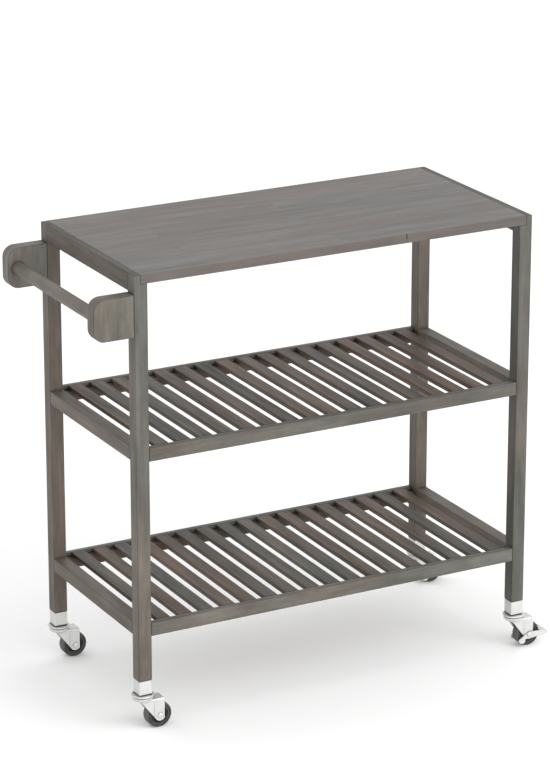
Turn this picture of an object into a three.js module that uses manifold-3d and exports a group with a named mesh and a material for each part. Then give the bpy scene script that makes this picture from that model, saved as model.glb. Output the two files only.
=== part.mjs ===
// Kitchen island cart: slatted trolley with a solid top, a towel-bar handle and four swivel casters.
// Millimetres, +Z up. +X runs along the top, away from the handle; -Y is the front.
// The origin is on the floor under the middle of the whole cart, handle and pedals included.
import * as THREE from 'three';
import { mergeVertices } from 'three/addons/utils/BufferGeometryUtils.js';
import Module from 'manifold-3d';

const wasm = await Module();
wasm.setup();

// ---- Driving dimensions -------------------------------------------------------------------
const LENGTH = 864; // over the outer faces of the legs
const DEPTH = 412.6; // over the front and rear faces of the legs
const HEIGHT = 914.4; // floor to tabletop
const STOCK = 27.5; // square stock of the legs and end rails, and height of the shelf rails
const GAP = 0.3; // joint line between fixed pieces

const TOP_THICKNESS = 18;
const TOP_STRIP = 13.3; // strip of the end frame left standing outside the tabletop
const TOP_RAIL_HEIGHT = 35;
const LEG_BOTTOM_Z = 103.4;

const SHELF_TOPS = { middle: 574.2, lower: 221.1 };
const SHELF_RAIL_THICKNESS = 12;
const SLAT_COUNT = 17;
const SLAT_WIDTH = 28;
const SLAT_THICKNESS = 8;
const SLAT_HOUSING = 0.5; // depth that the slats are let into the cleats

const HANDLE_REACH = 83.2;
const HANDLE_HEIGHT = 82.4;
const HANDLE_DROP = 37; // tabletop down to the top of the brackets
const HANDLE_CORNER_RADIUS = 23;
const BAR_RADIUS = 13;
const BAR_REACH = 62.5; // leg face to the centre of the bar
const BAR_TENON = { radius: 8, length: 14 };
const BOLT = { shankRadius: 3, headRadius: 5.5, headHeight: 3, bite: 30, spread: 20.6 };
const SCREW = { shankRadius: 2, headRadius: 4, headHeight: 2.4, bite: 11, spread: 105 };
const HEAD_FLAT = 0.7; // radius of the flat on a fastener's head, as a fraction of the head's
const HEAD_RIM = 0.45; // height of the head's straight rim, as a fraction of the head's

const FERRULE = { bottomZ: 75.2, wall: 1.5, floor: 2 };
const STEM = { radius: 4, topZ: 98, collarRadius: 9, lip: 0.8 };
const STEM_DISC = { radius: 22, topZ: 73.4, bottomZ: 69.8 };
const KING_PIN = { radius: 5, headRadius: 8, headTopZ: 59.6, headBottomZ: 57.3 };
const THRUST_RING = { inner: 8, outer: 17, bottomZ: 67, topZ: 69.5 };
const RACEWAY = { outer: 19.5, rim: 17.3, floorZ: 66.7, rimZ: 68.1 };
const CROWN = { topZ: 62.4, thickness: 2.5, heel: 11.3, toe: 38.7 };
const FORK = { halfWidth: 14.05, plate: 2, tipRadius: 11 };
const WHEEL = { radius: 26, halfWidth: 10, rimRadius: 17.5, trail: 30.5, chamfer: 2.2, sides: 36 };
const HUB = { halfWidth: 11.7, bossRadius: 7, webHalfWidth: 5, rimInner: 15, rimHalfWidth: 9 };
const AXLE = { radius: 3, headRadius: 5.5, headHeight: 2, lip: 0.7 };
const PEDAL = { plate: 2, padInner: 29.5, padOuter: 42, padBottom: -2, padTop: 0.6 };
// Each of the pedal's arms is three straps. A strap has two round ends, [x, z, radius] from the axle.
const PEDAL_STRAPS = {
  heel: [[0, -1.5, 7.5], [38, -1.6, 4]],
  neck: [[-1, 0.4, 5.4], [-17, -8.2, 4]],
  toe: [[-16.6, -11.4, 6.2], [-18.6, -11, 6]],
};
const RUNNING_CLEARANCE = 0.1; // radial, between a shaft and the bore that turns on it
const ROUND_SIDES = { screw: 12, stem: 16, axle: 20, caster: 28, bar: 32, arc: 8 };

// ---- Derived values -----------------------------------------------------------------------
const HALF_LENGTH = LENGTH / 2;
const HALF_DEPTH = DEPTH / 2;
const INNER_X = HALF_LENGTH - STOCK; // inner faces of the legs
const INNER_Y = HALF_DEPTH - STOCK;
const LEG_X = HALF_LENGTH - STOCK / 2; // leg axes, which are also the swivel axes
const LEG_Y = HALF_DEPTH - STOCK / 2;
const SHOULDER_Z = HEIGHT - TOP_THICKNESS; // underside of the tabletop
const HANDLE_TOP_Z = HEIGHT - HANDLE_DROP;
const HANDLE_MID_Z = HANDLE_TOP_Z - HANDLE_HEIGHT / 2;
const PEDAL_INNER_Y = FORK.halfWidth + GAP;
const PEDAL_OUTER_Y = PEDAL_INNER_Y + PEDAL.plate;
const REACH_LEFT = HALF_LENGTH + HANDLE_REACH;
const REACH_RIGHT = LEG_X + WHEEL.trail + PEDAL.padOuter;
const ORIGIN_SHIFT_X = (REACH_LEFT - REACH_RIGHT) / 2;

const SIDES = [['left', -1], ['right', 1]];
const ENDS = [['front', -1], ['rear', 1]];
const CORNERS = SIDES.flatMap(([side, sx]) => (
  ENDS.map(([end, sy]) => ({ corner: `${end}_${side}`, sx, sy }))));

const FINISHES = {
  top: { color: 0x87827e, roughness: 0.5 },
  frame: { color: 0x6b6660, roughness: 0.6 },
  slat: { color: 0x67625c, roughness: 0.6 },
  handle: { color: 0x757069, roughness: 0.6 },
  plated: { color: 0xe4e4e2, roughness: 0.3, metalness: 0.8 },
  steel: { color: 0x8f9091, roughness: 0.35, metalness: 0.9 },
  ring: { color: 0xd8d4c8, roughness: 0.5 },
  hub: { color: 0x3a3a3a, roughness: 0.5 },
  tyre: { color: 0x4b4b4a, roughness: 0.75 },
};

// ---- Geometry helpers ---------------------------------------------------------------------
const MERGE_TOLERANCE = 1e-4;

/** A closed three.js geometry as a manifold solid, with its shared corners joined. */
function toSolid(geometry) {
  const bare = geometry.clone();
  bare.deleteAttribute('normal');
  bare.deleteAttribute('uv');
  const merged = mergeVertices(bare, MERGE_TOLERANCE);
  return new wasm.Manifold(new wasm.Mesh({
    numProp: 3,
    vertProperties: new Float32Array(merged.attributes.position.array),
    triVerts: new Uint32Array(merged.index.array),
  }));
}

/** A manifold solid back as a three.js geometry. */
function toGeometry(solid) {
  const { vertProperties, triVerts } = solid.getMesh();
  const geometry = new THREE.BufferGeometry();
  geometry.setAttribute('position', new THREE.BufferAttribute(vertProperties, 3));
  geometry.setIndex(new THREE.BufferAttribute(triVerts, 1));
  geometry.computeVertexNormals();
  return geometry;
}

/** A box from its two extreme corners, given in either order along each axis. */
function block(a, b) {
  const size = a.map((value, i) => Math.abs(b[i] - value));
  const middle = a.map((value, i) => (value + b[i]) / 2);
  return new THREE.BoxGeometry(...size).translate(...middle);
}

/** Revolves [radius, height] pairs about Y, with a flat side facing -Z when the sides are even. */
function revolveY(profile, sides) {
  const points = profile.map(([radius, height]) => new THREE.Vector2(radius, height));
  return new THREE.LatheGeometry(points, sides, Math.PI / sides);
}

const revolveZ = (profile, sides) => revolveY(profile, sides).rotateX(Math.PI / 2);
const revolveX = (profile, sides) => revolveY(profile, sides).rotateZ(-Math.PI / 2);

/** A plain shaft profile from height low to high, closed on the axis. */
const shaft = (radius, low, high) => [[0, low], [radius, low], [radius, high], [0, high]];

/** A flat shape in the X-Z plane, given thickness along Y from low to high. */
function slabXZ(shape, low, high) {
  const options = { depth: high - low, bevelEnabled: false, curveSegments: ROUND_SIDES.arc };
  return new THREE.ExtrudeGeometry(shape, options).rotateX(Math.PI / 2).translate(0, high, 0);
}

/** The outline of a strap round two circles, each [x, z, radius]. */
function strap([x1, z1, r1], [x2, z2, r2]) {
  const heading = Math.atan2(z2 - z1, x2 - x1);
  const spread = Math.acos((r1 - r2) / Math.hypot(x2 - x1, z2 - z1));
  const shape = new THREE.Shape();
  shape.absarc(x1, z1, r1, heading + spread, heading - spread + 2 * Math.PI, false);
  shape.absarc(x2, z2, r2, heading - spread, heading + spread, false);
  return shape;
}

const union = (geometries) => geometries.map(toSolid).reduce((all, next) => all.add(next));
const cut = (solid, geometries) => geometries.map(toSolid).reduce((all, next) => all.subtract(next), solid);

const cart = new THREE.Group();
cart.position.x = ORIGIN_SHIFT_X;

/** Adds one named piece, with a material of its own. */
function addPiece(parent, name, geometry, finish) {
  const mesh = new THREE.Mesh(geometry, new THREE.MeshStandardMaterial(finish));
  mesh.name = name;
  parent.add(mesh);
}

// ---- Tabletop and end frames --------------------------------------------------------------
const SCREW_X = HALF_LENGTH - (TOP_STRIP + STOCK) / 2; // middle of the ledge under the tabletop

function screwHole(sx, sy) {
  const topZ = SHOULDER_Z + SCREW.bite + GAP;
  const profile = shaft(SCREW.shankRadius + GAP, SHOULDER_Z - TOP_RAIL_HEIGHT, topZ);
  return revolveZ(profile, ROUND_SIDES.screw).translate(sx * SCREW_X, sy * SCREW.spread, 0);
}

function addTabletop() {
  const edge = HALF_LENGTH - TOP_STRIP - GAP;
  const board = block([-edge, -HALF_DEPTH, SHOULDER_Z], [edge, HALF_DEPTH, HEIGHT]);
  const holes = CORNERS.map(({ sx, sy }) => screwHole(sx, sy));
  addPiece(cart, 'tabletop', toGeometry(cut(toSolid(board), holes)), FINISHES.top);
}

/** The space that the tabletop takes out of the head of an end frame. */
const rebate = (sx) => block([sx * (HALF_LENGTH - TOP_STRIP), -HALF_DEPTH - STOCK, SHOULDER_Z - GAP],
  [0, HALF_DEPTH + STOCK, HEIGHT + STOCK]);

function addTopRails() {
  for (const [side, sx] of SIDES) {
    const end = INNER_Y - GAP;
    const rail = block([sx * INNER_X, -end, HEIGHT - TOP_RAIL_HEIGHT], [sx * HALF_LENGTH, end, HEIGHT]);
    const cuts = [rebate(sx), screwHole(sx, -1), screwHole(sx, 1)];
    addPiece(cart, `top_rail_${side}`, toGeometry(cut(toSolid(rail), cuts)), FINISHES.frame);
  }
}

const boltZ = (level) => HANDLE_MID_Z + level * BOLT.spread;

/** The two holes, through a left leg and into the bracket on it, for the bolts of one bracket. */
const boltHoles = (sy) => [-1, 1].map((level) => {
  const profile = shaft(BOLT.shankRadius + GAP, -BOLT.bite - GAP, STOCK + STOCK);
  return revolveX(profile, ROUND_SIDES.screw).translate(-HALF_LENGTH, sy * LEG_Y, boltZ(level));
});

function addLegs() {
  const tenonHalf = STOCK / 2 - FERRULE.wall - GAP;
  const tenonZ = FERRULE.bottomZ + FERRULE.floor + GAP;
  for (const { corner, sx, sy } of CORNERS) {
    const x = sx * LEG_X;
    const y = sy * LEG_Y;
    const outerCorner = [sx * HALF_LENGTH, sy * HALF_DEPTH, HEIGHT];
    const post = block([sx * INNER_X, sy * INNER_Y, LEG_BOTTOM_Z], outerCorner);
    const tenon = block([-tenonHalf, -tenonHalf, tenonZ], [tenonHalf, tenonHalf, LEG_BOTTOM_Z + STOCK]);
    const stemHole = revolveZ(shaft(STEM.radius + GAP, 0, STEM.topZ + GAP), ROUND_SIDES.stem);
    const cuts = [rebate(sx), stemHole.translate(x, y, 0), ...(sx < 0 ? boltHoles(sy) : [])];
    const leg = cut(union([post, tenon.translate(x, y, 0)]), cuts);
    addPiece(cart, `leg_${corner}`, toGeometry(leg), FINISHES.frame);
  }
}

// ---- Shelves ------------------------------------------------------------------------------
function addShelf(name, topZ) {
  const bottomZ = topZ - STOCK;
  for (const [end, sy] of ENDS) {
    const reach = INNER_X - GAP;
    const innerY = sy * (HALF_DEPTH - SHELF_RAIL_THICKNESS);
    const rail = block([-reach, innerY, bottomZ], [reach, sy * HALF_DEPTH, topZ]);
    addPiece(cart, `${name}_rail_${end}`, rail, FINISHES.frame);
  }
  for (const [side, sx] of SIDES) {
    const reach = INNER_Y - GAP;
    const rail = block([sx * INNER_X, -reach, bottomZ], [sx * HALF_LENGTH, reach, topZ]);
    addPiece(cart, `${name}_rail_${side}`, rail, FINISHES.frame);
  }
  addPiece(cart, `${name}_slat_deck`, toGeometry(slatDeck(topZ)), FINISHES.slat);
}

/** Slats laid front to back, joined by the cleat under each end of them. */
function slatDeck(topZ) {
  const slatGap = (2 * INNER_X - SLAT_COUNT * SLAT_WIDTH) / (SLAT_COUNT + 1);
  const pitch = SLAT_WIDTH + slatGap;
  const slatEnd = HALF_DEPTH - SHELF_RAIL_THICKNESS - GAP;
  const undersideZ = topZ - SLAT_THICKNESS;
  const slats = Array.from({ length: SLAT_COUNT }, (_, i) => {
    const x = (i - (SLAT_COUNT - 1) / 2) * pitch;
    return block([x - SLAT_WIDTH / 2, -slatEnd, undersideZ], [x + SLAT_WIDTH / 2, slatEnd, topZ]);
  });
  const cleats = ENDS.map(([, sy]) => block([-INNER_X + GAP, sy * INNER_Y, topZ - STOCK],
    [INNER_X - GAP, sy * slatEnd, undersideZ + SLAT_HOUSING]));
  return union([...cleats, ...slats]);
}

// ---- Handle at the left end ---------------------------------------------------------------
function bracketOutline() {
  const inner = -HALF_LENGTH - GAP;
  const outer = -HALF_LENGTH - HANDLE_REACH;
  const bottomZ = HANDLE_TOP_Z - HANDLE_HEIGHT;
  const r = HANDLE_CORNER_RADIUS;
  const shape = new THREE.Shape();
  shape.moveTo(inner, bottomZ);
  shape.lineTo(inner, HANDLE_TOP_Z);
  shape.absarc(outer + r, HANDLE_TOP_Z - r, r, Math.PI / 2, Math.PI, false);
  shape.absarc(outer + r, bottomZ + r, r, Math.PI, 1.5 * Math.PI, false);
  shape.closePath();
  return shape;
}

function addHandle() {
  const barX = -HALF_LENGTH - BAR_REACH;
  const shoulderY = INNER_Y - GAP;
  const tenonY = shoulderY + BAR_TENON.length;
  const socketY = tenonY + GAP + GAP;
  for (const [end, sy] of ENDS) {
    const [low, high] = sy < 0 ? [-HALF_DEPTH, -INNER_Y] : [INNER_Y, HALF_DEPTH];
    const socket = revolveY(shaft(BAR_TENON.radius + GAP, -socketY, socketY), ROUND_SIDES.axle);
    const cuts = [socket.translate(barX, 0, HANDLE_MID_Z), ...boltHoles(sy)];
    const bracket = cut(toSolid(slabXZ(bracketOutline(), low, high)), cuts);
    addPiece(cart, `handle_bracket_${end}`, toGeometry(bracket), FINISHES.handle);
  }
  const { radius } = BAR_TENON;
  const profile = [[0, -tenonY], [radius, -tenonY], [radius, -shoulderY], [BAR_RADIUS, -shoulderY],
    [BAR_RADIUS, shoulderY], [radius, shoulderY], [radius, tenonY], [0, tenonY]];
  const bar = revolveY(profile, ROUND_SIDES.bar).translate(barX, 0, HANDLE_MID_Z);
  addPiece(cart, 'handle_bar', bar, FINISHES.handle);
}

// ---- Fasteners ----------------------------------------------------------------------------
/** A headed fastener: the head's seat is at height 0, the shank points up. */
const fastener = ({ shankRadius, headRadius, headHeight }, length) => [[0, -headHeight],
  [headRadius * HEAD_FLAT, -headHeight], [headRadius, -headHeight * HEAD_RIM], [headRadius, 0],
  [shankRadius, 0], [shankRadius, length - shankRadius / 2], [shankRadius / 2, length], [0, length]];

function addFasteners() {
  for (const [end, sy] of ENDS) {
    for (const [levelName, level] of [['lower', -1], ['upper', 1]]) {
      const bolt = revolveX(fastener(BOLT, STOCK + BOLT.bite), ROUND_SIDES.screw).rotateZ(Math.PI)
        .translate(-INNER_X + GAP, sy * LEG_Y, boltZ(level));
      addPiece(cart, `handle_bolt_${end}_${levelName}`, bolt, FINISHES.steel);
    }
    for (const [side, sx] of SIDES) {
      const seatZ = HEIGHT - TOP_RAIL_HEIGHT - GAP;
      const screw = revolveZ(fastener(SCREW, SHOULDER_Z + SCREW.bite - seatZ), ROUND_SIDES.screw)
        .translate(sx * SCREW_X, sy * SCREW.spread, seatZ);
      addPiece(cart, `top_screw_${end}_${side}`, screw, FINISHES.steel);
    }
  }
}

// ---- Casters: each is drawn about its swivel axis, trailing towards +X -----------------------
function ferrule() {
  const half = STOCK / 2;
  const inner = half - FERRULE.wall;
  const topZ = LEG_BOTTOM_Z - GAP;
  const shell = block([-half, -half, FERRULE.bottomZ], [half, half, topZ]);
  const cavity = block([-inner, -inner, FERRULE.bottomZ + FERRULE.floor], [inner, inner, topZ + STOCK]);
  const stemHole = revolveZ(shaft(STEM.radius + GAP, 0, HEIGHT), ROUND_SIDES.stem);
  return toGeometry(cut(toSolid(shell), [cavity, stemHole]));
}

/** Stem, top disc and king pin, which are one riveted unit. */
function stem() {
  const { radius, topZ, collarRadius, lip } = STEM;
  const { radius: discRadius, topZ: discTopZ, bottomZ: discBottomZ } = STEM_DISC;
  const { radius: pinRadius, headRadius, headTopZ, headBottomZ } = KING_PIN;
  const collarTopZ = FERRULE.bottomZ - GAP;
  return revolveZ([[0, headBottomZ], [headRadius - lip, headBottomZ], [headRadius, headBottomZ + lip],
    [headRadius, headTopZ], [pinRadius, headTopZ], [pinRadius, discBottomZ],
    [discRadius - lip, discBottomZ], [discRadius, discBottomZ + lip],
    [discRadius, discTopZ - lip], [discRadius - lip, discTopZ],
    [collarRadius, discTopZ], [collarRadius, collarTopZ], [radius, collarTopZ],
    [radius, topZ - lip], [radius - lip, topZ], [0, topZ]], ROUND_SIDES.caster);
}

function thrustRing() {
  const { inner, outer, bottomZ, topZ } = THRUST_RING;
  const profile = [[inner, bottomZ], [outer, bottomZ], [outer, topZ], [inner, topZ], [inner, bottomZ]];
  return revolveZ(profile, ROUND_SIDES.caster);
}

/** One side plate of the fork: wide at the crown, tapering to a round end at the axle. */
function forkPlate() {
  const { trail, radius } = WHEEL;
  const { tipRadius } = FORK;
  const shape = new THREE.Shape();
  shape.moveTo(CROWN.toe, CROWN.topZ);
  shape.lineTo(-CROWN.heel, CROWN.topZ);
  const slant = Math.atan2(CROWN.topZ - radius, trail + CROWN.heel);
  const lean = Math.acos(tipRadius / Math.hypot(CROWN.topZ - radius, trail + CROWN.heel));
  shape.absarc(trail, radius, tipRadius, Math.PI - slant + lean, 2 * Math.PI, false);
  shape.closePath();
  return shape;
}

function fork() {
  const { halfWidth, plate } = FORK;
  const crownBottomZ = CROWN.topZ - CROWN.thickness;
  const body = union([
    block([-CROWN.heel, -halfWidth, crownBottomZ], [CROWN.toe, halfWidth, CROWN.topZ]),
    slabXZ(forkPlate(), -halfWidth, -halfWidth + plate),
    slabXZ(forkPlate(), halfWidth - plate, halfWidth),
    revolveZ([[0, crownBottomZ], [RACEWAY.outer, crownBottomZ], [RACEWAY.outer, RACEWAY.rimZ],
      [RACEWAY.rim, RACEWAY.rimZ], [RACEWAY.rim, RACEWAY.floorZ], [0, RACEWAY.floorZ]], ROUND_SIDES.caster),
  ]);
  const pinHole = revolveZ(shaft(KING_PIN.radius + RUNNING_CLEARANCE, 0, HEIGHT), ROUND_SIDES.caster);
  const axleHole = revolveY(shaft(AXLE.radius + RUNNING_CLEARANCE, -STOCK, STOCK), ROUND_SIDES.axle);
  return toGeometry(cut(body, [pinHole, axleHole.translate(WHEEL.trail, 0, WHEEL.radius)]));
}

function axle(reach) {
  const { radius, headRadius, headHeight, lip } = AXLE;
  const end = reach + headHeight;
  const profile = [[0, -end], [headRadius - lip, -end], [headRadius, lip - end], [headRadius, -reach],
    [radius, -reach], [radius, reach], [headRadius, reach], [headRadius, end - lip],
    [headRadius - lip, end], [0, end]];
  return revolveY(profile, ROUND_SIDES.axle);
}

function tyre() {
  const { halfWidth, rimRadius, chamfer, sides } = WHEEL;
  const treadRadius = WHEEL.radius / Math.cos(Math.PI / sides); // the flats reach the floor
  const shoulder = treadRadius - chamfer;
  const edge = halfWidth - chamfer;
  const profile = [[rimRadius, -halfWidth], [shoulder, -halfWidth], [treadRadius, -edge],
    [treadRadius, edge], [shoulder, halfWidth], [rimRadius, halfWidth], [rimRadius, -halfWidth]];
  return revolveY(profile, sides);
}

function hub() {
  const { halfWidth, bossRadius, webHalfWidth, rimInner, rimHalfWidth } = HUB;
  const bore = AXLE.radius + RUNNING_CLEARANCE;
  const rimRadius = WHEEL.rimRadius - GAP;
  const half = [[bore, halfWidth], [bossRadius, halfWidth], [bossRadius, webHalfWidth],
    [rimInner, webHalfWidth], [rimInner, rimHalfWidth], [rimRadius, rimHalfWidth]];
  const mirrored = half.map(([radius, height]) => [radius, -height]);
  return revolveY([...mirrored, ...half.reverse(), mirrored[0]], ROUND_SIDES.caster);
}

/** Brake pedal, drawn about the axle: two arms outside the fork, joined by the foot pad. */
function pedal() {
  const straps = Object.values(PEDAL_STRAPS).map(([near, far]) => strap(near, far));
  const arms = [[-PEDAL_OUTER_Y, -PEDAL_INNER_Y], [PEDAL_INNER_Y, PEDAL_OUTER_Y]]
    .flatMap(([low, high]) => straps.map((outline) => slabXZ(outline, low, high)));
  const { padInner, padOuter, padBottom, padTop } = PEDAL;
  const pad = block([padInner, -PEDAL_OUTER_Y, padBottom], [padOuter, PEDAL_OUTER_Y, padTop]);
  const bore = revolveY(shaft(AXLE.radius + RUNNING_CLEARANCE, -STOCK, STOCK), ROUND_SIDES.axle);
  return toGeometry(cut(union([...arms, pad]), [bore]));
}

function addCasters() {
  for (const { corner, sx, sy } of CORNERS) {
    const braked = sx > 0;
    const axleReach = braked ? PEDAL_OUTER_Y + GAP : PEDAL_INNER_Y;
    const caster = new THREE.Group();
    caster.position.set(sx * LEG_X, sy * LEG_Y, 0);
    cart.add(caster);
    addPiece(caster, `caster_ferrule_${corner}`, ferrule(), FINISHES.plated);
    addPiece(caster, `caster_stem_${corner}`, stem(), FINISHES.plated);
    addPiece(caster, `caster_thrust_ring_${corner}`, thrustRing(), FINISHES.ring);
    addPiece(caster, `caster_fork_${corner}`, fork(), FINISHES.plated);
    const wheel = new THREE.Group();
    wheel.position.set(WHEEL.trail, 0, WHEEL.radius);
    caster.add(wheel);
    addPiece(wheel, `wheel_axle_${corner}`, axle(axleReach), FINISHES.plated);
    addPiece(wheel, `wheel_hub_${corner}`, hub(), FINISHES.hub);
    addPiece(wheel, `wheel_tyre_${corner}`, tyre(), FINISHES.tyre);
    if (braked) addPiece(wheel, `brake_pedal_${corner}`, pedal(), FINISHES.plated);
  }
}

addTabletop();
addTopRails();
addLegs();
for (const [name, topZ] of Object.entries(SHELF_TOPS)) addShelf(name, topZ);
addHandle();
addFasteners();
addCasters();

export default cart;
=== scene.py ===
"""Looks of the kitchen island cart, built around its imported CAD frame. Metres, row frame, +Z up."""
import math
import random

import bmesh
import bpy
from mathutils import Matrix, Vector


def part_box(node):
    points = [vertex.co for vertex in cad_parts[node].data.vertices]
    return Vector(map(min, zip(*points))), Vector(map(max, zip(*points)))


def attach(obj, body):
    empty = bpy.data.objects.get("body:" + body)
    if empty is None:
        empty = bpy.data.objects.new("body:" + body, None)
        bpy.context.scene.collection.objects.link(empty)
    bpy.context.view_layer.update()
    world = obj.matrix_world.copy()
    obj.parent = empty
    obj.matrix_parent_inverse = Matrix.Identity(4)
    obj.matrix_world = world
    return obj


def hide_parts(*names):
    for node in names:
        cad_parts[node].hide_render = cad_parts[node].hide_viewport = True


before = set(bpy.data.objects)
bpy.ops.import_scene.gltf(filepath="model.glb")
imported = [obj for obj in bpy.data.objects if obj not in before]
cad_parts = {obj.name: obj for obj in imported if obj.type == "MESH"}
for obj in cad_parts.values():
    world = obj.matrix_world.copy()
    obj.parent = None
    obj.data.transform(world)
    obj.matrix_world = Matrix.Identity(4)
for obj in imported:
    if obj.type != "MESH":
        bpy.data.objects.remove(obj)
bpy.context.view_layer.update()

MM = 0.001
SIDES = ("left", "right")
ENDS = ("front", "rear")
CORNERS = [(end, side) for side in SIDES for end in ENDS]
GAP = 0.3 * MM  # joint line between fixed pieces
ARRIS = 0.9 * MM  # rounding of the edges of the timber
rng = random.Random(7)  # the spread of grain and tone over the timber


# ---- Camera, floor and light ----------------------------------------------------------------
VIEW_AZIMUTH, VIEW_ELEVATION = -28.25, 17.57  # degrees, round to the left and up from the front
VIEW_TARGET, VIEW_DISTANCE = Vector((-0.015, 0, 0.731)), 6.5
FOCAL_LENGTH_MM, VERTICAL_SHIFT = 154.2, -0.1
LIGHT_AT_HORIZON, LIGHT_OVERHEAD = 1.5, 0.9
FLOOR_HALF = 9


def add_camera():
    azimuth, elevation = math.radians(VIEW_AZIMUTH), math.radians(VIEW_ELEVATION)
    ahead = Vector((-math.sin(azimuth) * math.cos(elevation), math.cos(azimuth) * math.cos(elevation),
                    -math.sin(elevation)))
    data = bpy.data.cameras.new("camera")
    data.lens = FOCAL_LENGTH_MM
    data.shift_y = VERTICAL_SHIFT
    camera = bpy.data.objects.new("camera", data)
    camera.location = VIEW_TARGET - ahead * VIEW_DISTANCE
    camera.rotation_euler = ahead.to_track_quat("-Z", "Y").to_euler()
    bpy.context.scene.collection.objects.link(camera)
    bpy.context.scene.camera = camera


def add_area_light(name, position, aim, size, watts):
    """A round lamp, size across, turned towards aim."""
    data = bpy.data.lights.new(name, "AREA")
    data.shape = "DISK"
    data.size = size
    data.energy = watts
    light = bpy.data.objects.new(name, data)
    light.location = position
    light.rotation_euler = (Vector(aim) - Vector(position)).to_track_quat("-Z", "Y").to_euler()
    bpy.context.scene.collection.objects.link(light)


def add_world():
    """A white surround, brightest at the horizon and below it, and dimmest overhead."""
    world = bpy.data.worlds.new("studio")
    world.use_nodes = True
    nodes, links = world.node_tree.nodes, world.node_tree.links
    background = nodes["Background"]
    background.inputs["Color"].default_value = (1, 1, 1, 1)
    direction = nodes.new("ShaderNodeTexCoord").outputs["Generated"]
    height = nodes.new("ShaderNodeSeparateXYZ")
    links.new(direction, height.inputs[0])
    strength = nodes.new("ShaderNodeMapRange")
    links.new(height.outputs["Z"], strength.inputs["Value"])
    strength.inputs["To Min"].default_value = LIGHT_AT_HORIZON
    strength.inputs["To Max"].default_value = LIGHT_OVERHEAD
    links.new(strength.outputs["Result"], background.inputs["Strength"])
    bpy.context.scene.world = world


def add_floor():
    corners = [(x * FLOOR_HALF, y * FLOOR_HALF, 0) for x, y in ((-1, -1), (1, -1), (1, 1), (-1, 1))]
    floor_mesh = bpy.data.meshes.new("floor")
    floor_mesh.from_pydata(corners, [], [(0, 1, 2, 3)])
    floor = bpy.data.objects.new("floor", floor_mesh)
    bpy.context.scene.collection.objects.link(floor)
    material = bpy.data.materials.new("floor_paint")
    material.use_nodes = True
    shader = material.node_tree.nodes["Principled BSDF"]
    shader.inputs["Base Color"].default_value = (0.94, 0.94, 0.94, 1)
    shader.inputs["Roughness"].default_value = 0.9
    shader.inputs["Specular IOR Level"].default_value = 0.1
    floor_mesh.materials.append(material)


def add_studio():
    bpy.context.scene.view_settings.view_transform = "Standard"
    add_world()
    add_area_light("key", (2.2, -4.2, 3.6), (0, 0, 0.4), 3.6, 90)
    add_area_light("front", (0.6, -6.0, 1.2), (0, 0, 0.5), 3.2, 115)
    add_floor()


# ---- Materials ------------------------------------------------------------------------------
def linear(r, g, b):
    """An 8-bit sRGB colour as the linear RGBA that shaders take."""
    parts = [c / 255 for c in (r, g, b)]
    return tuple(c / 12.92 if c <= 0.04045 else ((c + 0.055) / 1.055) ** 2.4 for c in parts) + (1,)


def scaled(colour, factor):
    """A linear colour made darker or lighter."""
    return tuple(min(1, factor * c) for c in colour[:3]) + (1,)


class Shader:
    """A Principled material under construction: add() makes a node and wires or sets its inputs."""

    def __init__(self, name):
        self.material = bpy.data.materials.new(name)
        self.material.use_nodes = True
        self.tree = self.material.node_tree
        self.surface = self.tree.nodes["Principled BSDF"]

    def plug(self, node, socket, value):
        """Wires value to the socket if it is another node's output, or sets the socket to it."""
        target = node.inputs[socket]
        if isinstance(value, bpy.types.NodeSocket):
            self.tree.links.new(value, target)
        else:
            target.default_value = value

    def add(self, kind, inputs=None, **settings):
        node = self.tree.nodes.new("ShaderNode" + kind)
        for key, value in settings.items():
            setattr(node, key, value)
        for socket, value in (inputs or {}).items():
            self.plug(node, socket, value)
        return node

    def set(self, **inputs):
        """Wires or sets inputs of the surface. An underscore stands for a space in their names."""
        for socket, value in inputs.items():
            self.plug(self.surface, socket.replace("_", " "), value)

    def math(self, operation, a, b=0):
        return self.add("Math", {0: a, 1: b}, operation=operation).outputs[0]

    def noise(self, vector, scale, detail=4, roughness=0.55):
        """Noise of vector stretched by scale, a number for each axis, in cycles per metre."""
        stretched = self.add("Mapping", {"Vector": vector, "Scale": scale}).outputs["Vector"]
        inputs = {"Vector": stretched, "Scale": 1, "Detail": detail, "Roughness": roughness}
        return self.add("TexNoise", inputs).outputs["Fac"]

    def spread(self, value, low, high, to_low, to_high):
        """Value moved from the range low to high into the range to_low to to_high."""
        return self.add("MapRange", {"Value": value, "From Min": low, "From Max": high, "To Min": to_low,
                                     "To Max": to_high}).outputs["Result"]

    def ramp(self, value, *stops):
        """The colour at value on a ramp of (position, colour) stops."""
        node = self.add("ValToRGB", {"Fac": value})
        elements = node.color_ramp.elements
        while len(elements) < len(stops):
            elements.new(0.5)
        for element, (position, colour) in zip(elements, stops):
            element.position = position
            element.color = colour
        return node.outputs["Color"]

    def mix(self, factor, a, b, blend_type="MIX"):
        node = self.add("Mix", data_type="RGBA", blend_type=blend_type)
        for index, value in ((0, factor), (6, a), (7, b)):
            self.plug(node, index, value)
        return node.outputs[2]

    def paint_crease_shade(self, colour, shade_colour, reach, amount):
        """Paints shade into colour: through ambient occlusion it darkens towards a shade colour in narrow
        joints and inside corners.
        """
        openness = self.add("AmbientOcclusion", {"Distance": reach}, samples=8).outputs["AO"]
        return self.mix(self.spread(openness, 0.3, 0.9, amount, 0), colour, shade_colour)

    def bump(self, height, strength, distance):
        inputs = {"Height": height, "Strength": strength, "Distance": distance}
        return self.add("Bump", inputs).outputs["Normal"]


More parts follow.
